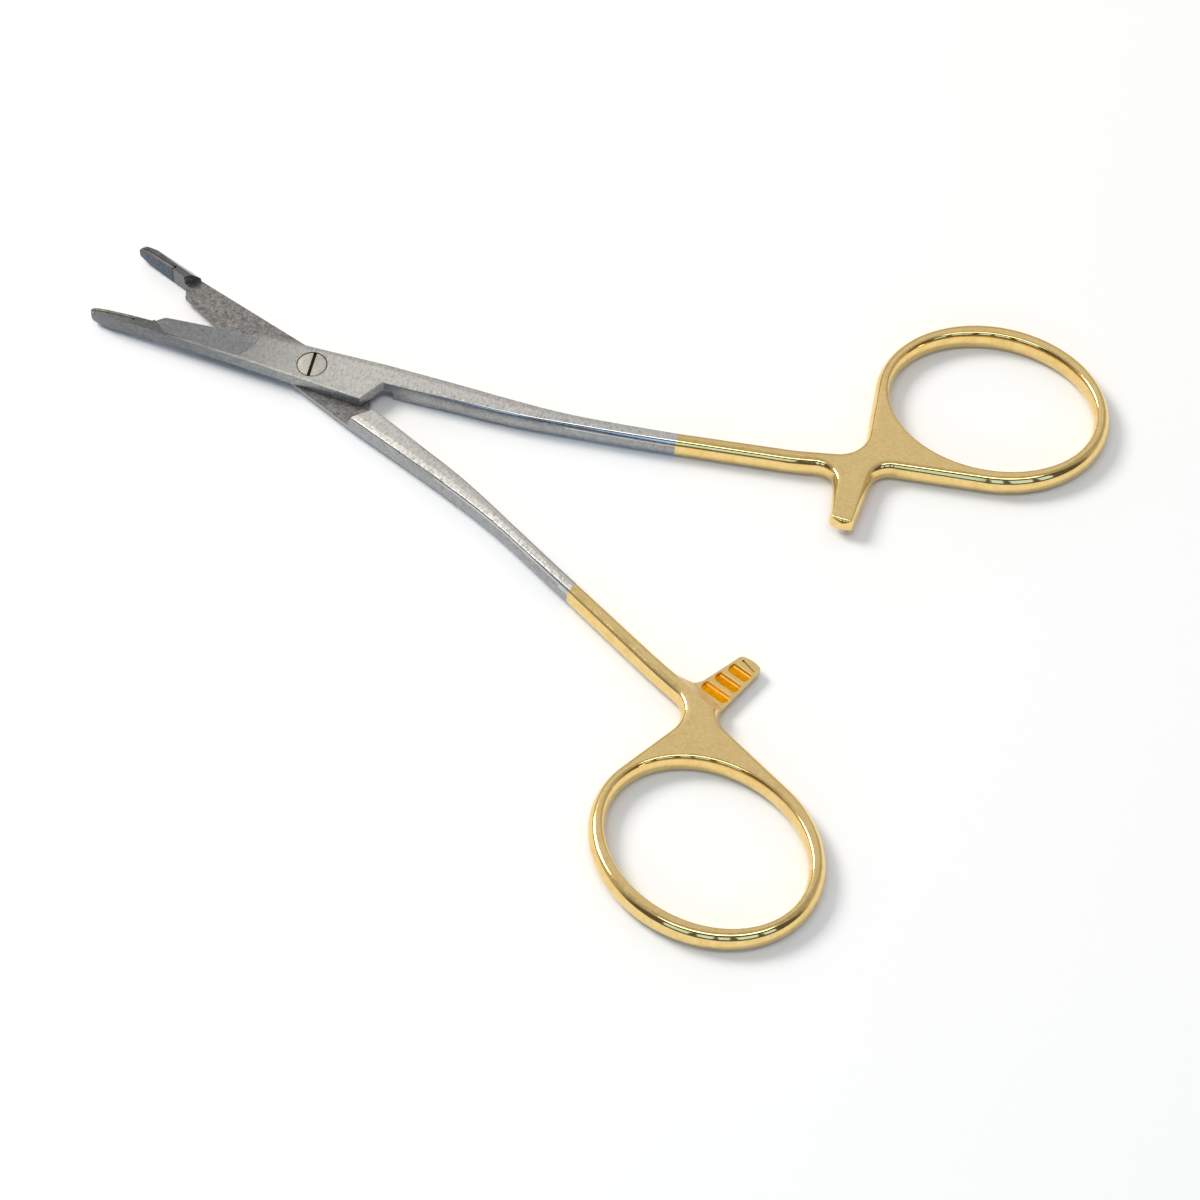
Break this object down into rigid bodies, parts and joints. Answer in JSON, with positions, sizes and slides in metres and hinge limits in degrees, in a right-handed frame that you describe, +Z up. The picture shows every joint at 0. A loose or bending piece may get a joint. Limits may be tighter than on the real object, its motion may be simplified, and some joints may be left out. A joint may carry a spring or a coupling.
{
  "type": "needle holder",
  "caption": "Ring-handled surgical needle holder with scissor blades behind its gripping jaws, turning on a slotted screw and held shut by a toothed ratchet.",
  "frame": {"origin": "on the screw axis, at the level of the surface that the instrument lies on", "axes": "+X from the joint towards the finger rings, midway between the open arms; +Y towards the upper arm's ring; +Z up along the screw axis, out of the screw's slotted head"},
  "size_m": [0.1143, 0.0932, 0.0029],
  "materials": {
    "arm_steel": "satin forged stainless steel, the rear of the shanks, the ratchet bars and the rings plated gold",
    "screw_steel": "satin",
    "hard_plate": "dark slate, matt, finely roughened"
  },
  "bodies": {
    "lower_half": {"lower_arm": "arm_steel", "lower_jaw_insert": "hard_plate", "joint_screw": "screw_steel"},
    "upper_half": {"upper_arm": "arm_steel", "upper_jaw_insert": "hard_plate"}
  },
  "joints": [
    {"name": "screw_joint", "type": "hinge", "parent": "lower_half", "child": "upper_half", "pos_m": [0, 0, 0.00145], "axis": [0, 0, 1], "range_deg": [-20.8, 39.2]}
  ]
}
